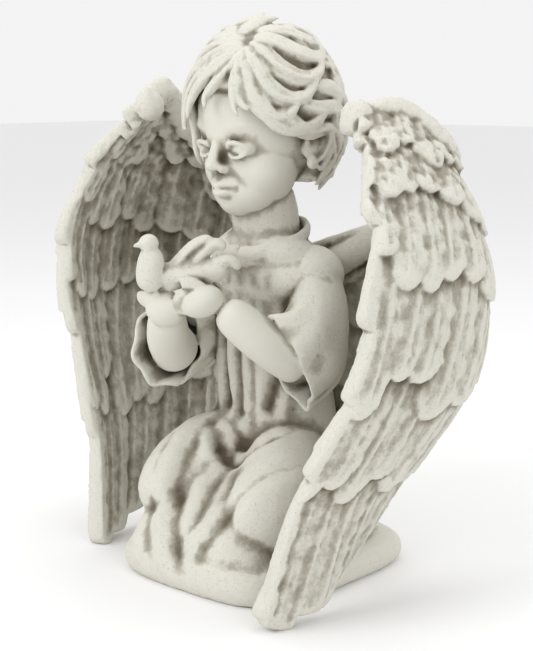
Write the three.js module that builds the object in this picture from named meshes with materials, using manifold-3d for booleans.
// A kneeling child angel of cast stone, with a small bird on its cupped hands and two tall wings
// that close round it. The statue is one casting, so it is one solid: every form below is a shape
// from three.js, bent to its place, and manifold-3d joins them all.
//
// Millimetres, +Z up. The angel faces -Y and its left side is towards +X. The forms are placed in the
// sculptor's frame, with the middle of the head over x = 0, y = 0, and the finished casting is then
// moved so that the middle of its outline stands over the origin.

import * as THREE from "three";
import { mergeVertices } from "three/addons/utils/BufferGeometryUtils.js";
import Module from "manifold-3d";

const wasm = await Module();
wasm.setup();

// ---------------------------------------------------------------- driving dimensions
const STONE = { color: 0xb3aea2, roughness: 0.88, metalness: 0 };
const HEAD = { x: 0, y: -1, z: 223, turn: -7, nod: 8 }; // middle of the skull; degrees
const SKULL = { x: 31, y: 33, z: 38 }; // half sizes
// Half sizes of the hair, its middle from the head's, how many locks go round it, how deep they are cut and
// how full it is: 1 is an ellipsoid, less is boxier.
const HAIR = { x: 36.5, y: 40, z: 45.5, back: 4, up: 5, locks: 9, deep: 2.8, full: 0.82 };
const SHOULDER = { x: 29, y: 8, z: 151 };
const ELBOW = { x: 36, y: -13, z: 108 };
const WRIST = { x: 9, y: -40, z: 137 };
const KNEE = { x: 29, y: -46, z: 23 };
// The hem and the cloth over the knees, from the ground up.
const SKIRT = [
  { z: -4, x: 5, y: -4, a: 57, b: 63 },
  { z: 6, x: 5, y: -4, a: 58, b: 64 },
  { z: 13, x: 5, y: -6, a: 55, b: 61 },
  { z: 18, x: 2, y: -24, a: 46, b: 40 },
  { z: 32, x: 1, y: -22, a: 38, b: 34 },
  { z: 48, x: 0, y: -12, a: 32, b: 26 },
  { z: 60, x: 0, y: 0, a: 24, b: 20 },
];
const WING_THICK = 4;

const rad = THREE.MathUtils.degToRad;
const lerp = THREE.MathUtils.lerp;
const V = (x, y, z) => new THREE.Vector3(x, y, z);

// ---------------------------------------------------------------- from geometry to solid

// A closed three.js geometry as a manifold-3d solid.
function solid(geometry) {
  const plain = geometry.clone();
  plain.deleteAttribute("normal");
  plain.deleteAttribute("uv");
  const merged = mergeVertices(plain, 1e-4);
  const made = new wasm.Manifold(
    new wasm.Mesh({
      numProp: 3,
      vertProperties: merged.attributes.position.array,
      triVerts: new Uint32Array(merged.index.array),
    }),
  );
  if (made.volume() >= 0) return made;
  // A mapping that mirrors turns the faces inwards, so each face is turned round.
  const faces = new Uint32Array(merged.index.array);
  for (let i = 0; i < faces.length; i += 3) [faces[i + 1], faces[i + 2]] = [faces[i + 2], faces[i + 1]];
  return new wasm.Manifold(
    new wasm.Mesh({ numProp: 3, vertProperties: merged.attributes.position.array, triVerts: faces }),
  );
}

const joined = (solids) => solids.reduce((all, next) => all.add(next));

// The skin of a solid as a geometry. Where forms close round a pocket the casting is solid stone, so a shell
// that faces inwards is left out; a form that touches nothing else is an error.
function filled(mesh) {
  const owner = Array.from({ length: mesh.vertProperties.length / 3 }, (_, i) => i);
  const root = (i) => {
    while (owner[i] !== i) i = owner[i] = owner[owner[i]];
    return i;
  };
  const faces = mesh.triVerts;
  for (let i = 0; i < faces.length; i += 3) {
    owner[root(faces[i + 1])] = root(faces[i]);
    owner[root(faces[i + 2])] = root(faces[i]);
  }
  const shells = new Map();
  for (let i = 0; i < faces.length; i += 3) {
    const name = root(faces[i]);
    if (!shells.has(name)) shells.set(name, { faces: [], volume: 0 });
    const shell = shells.get(name);
    const corner = (face) => V(...mesh.vertProperties.slice(3 * face, 3 * face + 3));
    const [a, b, c] = [corner(faces[i]), corner(faces[i + 1]), corner(faces[i + 2])];
    shell.volume += a.dot(b.cross(c)) / 6;
    shell.faces.push(faces[i], faces[i + 1], faces[i + 2]);
  }
  const skins = [...shells.values()].filter((shell) => shell.volume > 0);
  if (skins.length > 1) {
    const volumes = skins.map((skin) => Math.round(skin.volume)).sort((a, b) => b - a);
    throw new Error(`the casting falls into ${skins.length} lumps of ${volumes.join(", ")} mm3`);
  }
  const geometry = new THREE.BufferGeometry()
    .setAttribute("position", new THREE.BufferAttribute(mesh.vertProperties, 3))
    .setIndex(skins[0].faces)
    .toNonIndexed();
  return mergeVertices(geometry, 1e-5);
}

// The geometry with each vertex moved to move(vertex).
function shaped(geometry, move) {
  const at = geometry.attributes.position;
  for (let i = 0; i < at.count; i++) {
    const p = move(V(at.getX(i), at.getY(i), at.getZ(i)));
    at.setXYZ(i, p.x, p.y, p.z);
  }
  return geometry;
}

// An ellipsoid with half sizes r, turned by angles in degrees about X, Y and Z.
function egg(centre, r, turn = [0, 0, 0], around = 10, along = 7) {
  const g = new THREE.SphereGeometry(1, around, along);
  g.rotateX(Math.PI / 2);
  g.scale(r[0], r[1], r[2]);
  g.rotateX(rad(turn[0]));
  g.rotateY(rad(turn[1]));
  g.rotateZ(rad(turn[2]));
  g.translate(...centre);
  return solid(g);
}

// A round-ended limb along a smooth curve through the points. radii(t) gives its two half sizes, the first
// along side, the second across it; t runs from 0 to 1.
function limb(points, radii, { side = V(1, 0, 0), around = 8, along = 6 } = {}) {
  const curve = new THREE.CatmullRomCurve3(points.map((p) => V(...p)), false, "centripetal");
  const g = new THREE.SphereGeometry(1, around, along);
  return solid(
    shaped(g, (p) => {
      const polar = Math.acos(THREE.MathUtils.clamp(p.y, -1, 1));
      const t = polar / Math.PI;
      const swell = Math.min(1, Math.sqrt(Math.max(0, 1 - Math.abs(2 * t - 1) ** 4)) + 1e-9);
      const ring = Math.hypot(p.x, p.z) < 1e-7 ? 0 : swell / Math.hypot(p.x, p.z);
      const at = curve.getPoint(t);
      const ahead = curve.getTangent(t);
      const across = V(0, 0, 0).crossVectors(ahead, side).normalize();
      const flat = V(0, 0, 0).crossVectors(across, ahead).normalize();
      const [a, b] = radii(t);
      return at.addScaledVector(flat, p.x * ring * a).addScaledVector(across, p.z * ring * b);
    }),
  );
}

// ---------------------------------------------------------------- head and hair

const headTurn = new THREE.Euler(rad(HEAD.nod), 0, rad(HEAD.turn), "ZXY");

// A point given on the head, from its middle, moved to its place on the statue.
function onHead(x, y, z) {
  const p = V(x, y, z).applyEuler(headTurn);
  return [p.x + HEAD.x, p.y + HEAD.y, p.z + HEAD.z];
}

function headForm() {
  const tilt = [HEAD.nod, 0, HEAD.turn];
  const nose = [onHead(0, -28, 3), onHead(0, -33, -5), onHead(0, -36, -12), onHead(0, -30, -15)];
  const lips = [onHead(-8, -25, -23), onHead(0, -31, -22.5), onHead(8, -25, -23)];
  const forms = [
    egg(onHead(0, 2, 6), [SKULL.x, SKULL.y, SKULL.z], tilt, 12, 8),
    egg(onHead(0, -9, -15), [26, 21, 26], tilt, 12, 8), // jaw
    egg(onHead(0, -20, -32), [11, 10, 8], tilt, 8, 5), // chin
    limb(nose, (t) => [2 + 3 * t, 3.5], { around: 6, along: 5 }),
    limb(lips, () => [2.8, 2.8], { side: V(0, 1, 0), around: 5, along: 5 }),
  ];
  for (const s of [-1, 1]) {
    forms.push(egg(onHead(13 * s, -17, -16), [12, 11, 13], tilt, 8, 6)); // cheek
    forms.push(egg(onHead(31 * s, 6, -8), [3.5, 7, 10], tilt, 6, 5)); // ear
  }
  return joined(forms);
}

// The hair is one mass, carved into locks that swirl out from the crown and deepen into curls at the nape.
function hairForms() {
  const tilt = [HEAD.nod, 0, HEAD.turn];
  const mass = solid(
    shaped(new THREE.SphereGeometry(1, 4 * HAIR.locks, 12), (p) => {
      const down = Math.acos(THREE.MathUtils.clamp(p.y, -1, 1));
      const around = Math.atan2(p.x, p.z);
      const swirl = 0.55 * Math.sin(2.2 * down);
      const locks = Math.cos(HAIR.locks * (around + swirl));
      const curls = Math.max(0, Math.cos(5 * down)) * (0.5 + 0.5 * Math.cos(HAIR.locks * around));
      const out = Math.sin(down) * HAIR.deep * (locks + 1.3 * curls * Math.min(1, down / 2));
      const wide = Math.max(Math.sin(down), 1e-6) ** (HAIR.full - 1);
      return V(
        ...onHead(
          p.x * wide * (HAIR.x + out),
          HAIR.back - p.z * wide * (HAIR.y + out),
          HAIR.up + p.y * (HAIR.z + 0.6 * out),
        ),
      );
    }),
  );
  const face = egg(onHead(0, -36, -14), [29, 26, 36], tilt, 12, 8);
  // A tuft on the crown, a flick at the right temple, and the locks that fall over the brow.
  const strands = [
    [[10, -2, 44], [5, -1, 50], [0, 2, 56]],
    [[-18, -5, 30], [-30, -8, 37], [-38, -8, 43]],
    [[-4, -20, 35], [-15, -29, 29], [-23, -28, 17]],
    [[-14, -16, 34], [-26, -21, 24], [-33, -18, 6]],
    [[4, -20, 35], [11, -31, 29], [9, -32, 22]],
    [[12, -19, 34], [23, -28, 27], [33, -20, 19]],
  ].map((points) => {
    const path = points.map((p) => onHead(...p));
    return limb(path, (t) => [5 - 2.5 * t, 4.5 - 1.5 * t], { side: V(0, 1, 0.3), around: 5, along: 4 });
  });
  return [mass.subtract(face), ...strands];
}

// ---------------------------------------------------------------- robe, arms and hands

function robeForms() {
  const trunk = [[-2, 14, 44], [-2, 12, 80], [-1, 6, 120], [0, 4, 160]];
  const rightThigh = [[-12, 14, 60], [-26, -16, 50], [-KNEE.x, KNEE.y, KNEE.z]];
  const leftThigh = [[16, 12, 60], [30, -16, 48], [KNEE.x + 4, KNEE.y - 2, KNEE.z]];
  const bulge = (t) => Math.sin(Math.PI * t);
  const forms = [
    // Chest and belly, gathered in pleats under the collar.
    pleated(trunk, (t) => [lerp(41, 32, t) - 3 * bulge(t), lerp(31, 20, t) - 4 * bulge(t)]),
    limb([[0, 6, 148], [0, 3, 172], [HEAD.x, -2, 196]], () => [17, 17], { around: 10, along: 4 }), // neck
    ring([0, 2, 171], [23, 22], 3.2, -22), // collar band
    egg([0, 5, 149], [41, 20, 18], [0, 0, 0], 10, 6), // shoulders
    egg([0, 3, 160], [31, 21, 13], [-10, 0, 0], 10, 6), // yoke under the collar
    egg([0, 24, 36], [40, 34, 40], [0, 0, 0], 10, 7), // seat
    loft(SKIRT, 16),
    shin(-1),
    shin(1),
    limb(rightThigh, (t) => [lerp(24, 22, t), lerp(22, 24, t)], { around: 10 }),
    limb(leftThigh, (t) => [lerp(21, 19, t), lerp(20, 21, t)], { around: 10 }),
  ];
  // Fold ridges that fall from the lap to the hem.
  for (const ridge of [
    [[-8, -26, 64], [-16, -52, 36], [-10, -66, 6]],
    [[3, -28, 56], [4, -52, 30], [10, -67, 5]],
    [[-36, -14, 58], [-50, -38, 32], [-46, -58, 8]],
  ])
    forms.push(limb(ridge, (t) => [3.2, 3.5 + 2.5 * t], { around: 5 }));
  return forms;
}

// The cloth over a shin that lies on the ground.
function shin(s) {
  return limb([[34 * s, -46, 14], [33 * s, 0, 16], [28 * s, 38, 18]], () => [17, 18]);
}

// A closed body through rings, each a rounded oblong: z, its middle x and y, and its half sizes a and b.
function loft(rings, around) {
  const g = new THREE.CylinderGeometry(1, 1, 1, around, rings.length - 1);
  return solid(
    shaped(g, (p) => {
      const ring = rings[Math.round((p.y + 0.5) * (rings.length - 1))];
      const far = Math.hypot(p.x, p.z);
      if (far < 1e-6) return V(ring.x, ring.y, ring.z);
      const [c, k] = [p.x / far, -p.z / far];
      const square = (c ** 4 + k ** 4) ** -0.25;
      return V(ring.x + ring.a * c * square, ring.y + ring.b * k * square, ring.z);
    }),
  );
}

// A trunk whose front is gathered in pleats.
function pleated(points, radii) {
  const curve = new THREE.CatmullRomCurve3(points.map((p) => V(...p)));
  const PLEATS = 10;
  const DEEP = 0.035;
  return solid(
    shaped(new THREE.SphereGeometry(1, 3 * PLEATS, 5), (p) => {
      const t = 1 - Math.acos(THREE.MathUtils.clamp(p.y, -1, 1)) / Math.PI;
      const ring = Math.hypot(p.x, p.z);
      const swell = ring < 1e-7 ? 0 : Math.sqrt(Math.max(0, 1 - Math.abs(2 * t - 1) ** 6)) / ring;
      const around = Math.atan2(p.x, p.z);
      const pleat = 1 + DEEP * Math.cos(PLEATS * around);
      const [a, b] = radii(t);
      const at = curve.getPoint(t);
      return V(at.x + p.x * swell * a * pleat, at.y - p.z * swell * b * pleat, at.z);
    }),
  );
}

// A band round the neck: a torus with half sizes r, tilted about X.
function ring(centre, r, thick, tilt) {
  const g = new THREE.TorusGeometry(1, 0.1, 5, 16);
  shaped(g, (p) => {
    const far = Math.hypot(p.x, p.y);
    const out = (far - 1) * 10 * thick;
    return V((p.x / far) * (r[0] + out), (p.y / far) * (r[1] + out), p.z * 10 * thick * 0.9);
  });
  g.rotateX(rad(tilt));
  g.translate(...centre);
  return solid(g);
}

// One arm: a full bell sleeve with an open mouth, the bare forearm in it and the hand. s is 1 for the left.
function armForms(s) {
  const lead = s < 0 ? -9 : 0; // the right arm reaches further forward
  const [x, y, z] = [ELBOW.x * s, ELBOW.y + lead, ELBOW.z];
  const wrist = s > 0 ? [WRIST.x, WRIST.y, WRIST.z] : [-17, -49, 136];
  const middle = wrist.map((w, i) => lerp([x, y, z][i], w, 0.5));
  const upper = [[SHOULDER.x * s, SHOULDER.y, SHOULDER.z], [(SHOULDER.x + 4) * s, 2, 130], [x, y, z]];
  const bell = [[x - s, y + 8, z + 24], [x - s, y + 5, z + 2], [x - 3 * s, y + 4, z - 26]];
  const sleeve = limb(upper, (t) => [lerp(15, 16, t), lerp(15, 19, t)]).add(
    limb(bell, (t) => [lerp(17, 11, t), lerp(20, 12, t)]),
  );
  const mouth = egg([x - 8 * s, y - 12, z - 2], [15, 12, 21], [0, 0, 24 * s], 8, 6);
  const forearm = limb([[x, y, z], middle, wrist], (t) => [lerp(15, 10.5, t), lerp(15, 10.5, t)]);
  return [sleeve.subtract(mouth), forearm];
}

function handForms() {
  const leftPalm = egg([-2, -47, 140], [14, 10, 7.5], [0, -12, 30], 8, 6);
  const rightPalm = egg([-16, -54, 141], [11, 9, 7], [0, 10, 20], 8, 6);
  // The fingers lie side by side under the bird.
  const fingers = [0, 1, 2, 3].map((i) => {
    const bent = [[-6, -52, 136], [-16, -59, 138], [-23, -60, 143]];
    const path = bent.map(([x, y, z]) => [x + 1.6 * i, y + 3.4 * i, z + 2.2 * i]);
    return limb(path, () => [2.7, 2.7], { around: 5, along: 4 });
  });
  return [leftPalm, rightPalm, ...fingers];
}

function birdForms() {
  const body = [[-19, -61, 148], [-17, -61, 158], [-16, -62, 166], [-16, -63, 171]];
  return [
    limb(body, (t) => [lerp(8.5, 4.6, t), lerp(8, 4.8, t)]),
    egg([-16, -66.5, 170], [1.6, 3, 1.5], [0, 0, 0], 4, 4), // beak
    limb([[-16, -58, 154], [-6, -46, 160], [4, -34, 165]], (t) => [lerp(8, 6.5, t), lerp(7, 3.5, t)]), // back
    limb([[-6, -46, 150], [2, -38, 156], [6, -30, 163]], () => [6, 8], { around: 6, along: 5 }), // tail
  ];
}

// ---------------------------------------------------------------- wings

// The sheet that a wing's feathers lie on, as rows of points from the wrist of the wing down to the feather
// tips. Each row runs from the front edge round the outside to the back and in to the shoulder blade.
const LEFT_WING = [
  [[70, -13, 229], [79, 4, 231], [90, 26, 213], [64, 50, 188], [8, 22, 162]],
  [[90, -29, 203], [101, -4, 198], [105, 28, 184], [76, 54, 166], [8, 24, 148]],
  [[104, -42, 165], [113, -12, 156], [114, 27, 150], [82, 54, 138], [8, 26, 128]],
  [[101, -54, 112], [108, -26, 107], [110, 16, 102], [84, 44, 102], [10, 31, 104]],
  [[82, -68, 62], [90, -46, 58], [92, -8, 64], [76, 26, 74], [12, 36, 82]],
  [[67, -78, 0], [76, -54, 6], [74, -20, 30], [66, 14, 52], [14, 38, 62]],
];
// The right wing is almost the mirror image: its wrist stands higher and its lower half hangs straighter.
const RIGHT_WING = [
  [[-71, -10, 233], [-78, 6, 240], [-84, 26, 226], [-62, 46, 194], [-8, 22, 162]],
  [[-93, -25, 208], [-101, -4, 202], [-105, 28, 186], [-76, 54, 166], [-8, 24, 148]],
  LEFT_WING[2].map(([x, y, z]) => [-x, y, z]),
  [[-98, -42, 112], [-104, -22, 108], [-103, 10, 104], [-84, 42, 100], [-10, 31, 102]],
  [[-87, -40, 56], [-91, -24, 54], [-91, 0, 56], [-78, 30, 62], [-12, 36, 72]],
  [[-77, -49, 0], [-80, -36, 2], [-83, -14, 12], [-72, 24, 34], [-14, 38, 50]],
];

function wingSheet(rows) {
  const along = rows.map((row) => new THREE.CatmullRomCurve3(row.map((p) => V(...p))));
  const point = (u, v) => new THREE.CatmullRomCurve3(along.map((c) => c.getPoint(u))).getPoint(v);
  const clamp = (x) => THREE.MathUtils.clamp(x, 0, 1);
  // The point at (u, v), lifted by h to the outside of the wing.
  return (u, v, h) => {
    const [a, b] = [clamp(u), clamp(v)];
    const e = 0.01;
    const du = point(clamp(a + e), b).sub(point(clamp(a - e), b));
    const dv = point(a, clamp(b + e)).sub(point(a, clamp(b - e)));
    const out = V(0, 0, 0).crossVectors(du, dv).normalize();
    const at = point(a, b);
    // Past an edge of the sheet, the surface carries on straight.
    at.addScaledVector(du.divideScalar(Math.max(2 * e, 1e-9)), u - a);
    at.addScaledVector(dv.divideScalar(Math.max(2 * e, 1e-9)), v - b);
    return at.addScaledVector(out, h);
  };
}

// The feathers lie in rows like tiles, on both faces of the wing. A row's feathers end at tip and overlap the
// next row, which is shifted by half a feather.
const ROW_TIPS = [0.17, 0.4, 0.68, 1.02];
const FEATHER = { count: 5, steps: 4, lift: 4.2, low: 0.6, groove: 1.3, round: 0.075 };
const ROW_STEPS = [0, 0.07, 0.45, 0.85, 1]; // shares of a row's length where the relief bends

// Where a corner of the relief lies on the sheet: u, v and its height over the middle of the wing.
function plumage(i, j) {
  const last = ROW_STEPS.length - 1;
  const row = Math.min(ROW_TIPS.length - 1, Math.floor((j - 0.5) / last));
  const share = j === 0 ? 0 : ROW_STEPS[j - row * last];
  // 0 on the groove between two feathers of this row, 1 on a feather's middle
  const crown = (r) => 0.5 - 0.5 * Math.cos((2 * Math.PI * i) / FEATHER.steps + Math.PI * (r % 2));
  const tip = (r) => (r < 0 ? -0.03 : ROW_TIPS[r] - FEATHER.round * (1 - crown(r)));
  const high = FEATHER.lift * (1 - 0.12 * row);
  const rise = share < 0.01 ? (row ? high : FEATHER.low) : lerp(FEATHER.low, high, share);
  const groove = FEATHER.groove * (1 - crown(share < 0.01 ? row - 1 : row));
  return {
    u: i / (FEATHER.count * FEATHER.steps),
    v: lerp(tip(row - 1), tip(row), share),
    h: WING_THICK / 2 + rise - groove,
  };
}

function wingForms(rows, s) {
  const sheet = wingSheet(rows);
  const [across, down] = [FEATHER.count * FEATHER.steps, ROW_TIPS.length * (ROW_STEPS.length - 1)];
  const blade = shaped(new THREE.BoxGeometry(1, 1, 1, across, down, 1), (p) => {
    const { u, v, h } = plumage(Math.round((p.x + 0.5) * across), Math.round((p.y + 0.5) * down));
    return sheet(u, v, 2 * p.z * h);
  });
  // The knuckle of the wing, and the arm that joins it to the shoulder blade.
  const spine = [...rows[0].slice(0, 4), [20 * s, 27, 152], [4 * s, 8, 144]];
  return [
    solid(blade),
    egg(spine[0], [9, 9, 9], [0, 0, 0], 8, 6),
    limb(spine, () => [8, 9], { around: 6, along: 10 }),
  ];
}

// ---------------------------------------------------------------- the casting

const figure = joined([
  headForm(),
  ...hairForms(),
  ...robeForms(),
  ...armForms(1),
  ...armForms(-1),
  ...handForms(),
  ...birdForms(),
  ...wingForms(LEFT_WING, 1),
  ...wingForms(RIGHT_WING, -1),
]);

// The foot is cut flat at the ground.
const under = new THREE.BoxGeometry(400, 400, 60).translate(0, 0, -30);
const statue = figure.subtract(solid(under));

// The middle of the casting's outline comes over the origin.
const geometry = filled(statue.getMesh());
geometry.computeBoundingBox();
const middle = geometry.boundingBox.getCenter(V(0, 0, 0));
geometry.translate(-middle.x, -middle.y, 0);

const angel = new THREE.Mesh(geometry, new THREE.MeshStandardMaterial(STONE));
angel.name = "angel";

const group = new THREE.Group();
group.add(angel);

export default group;
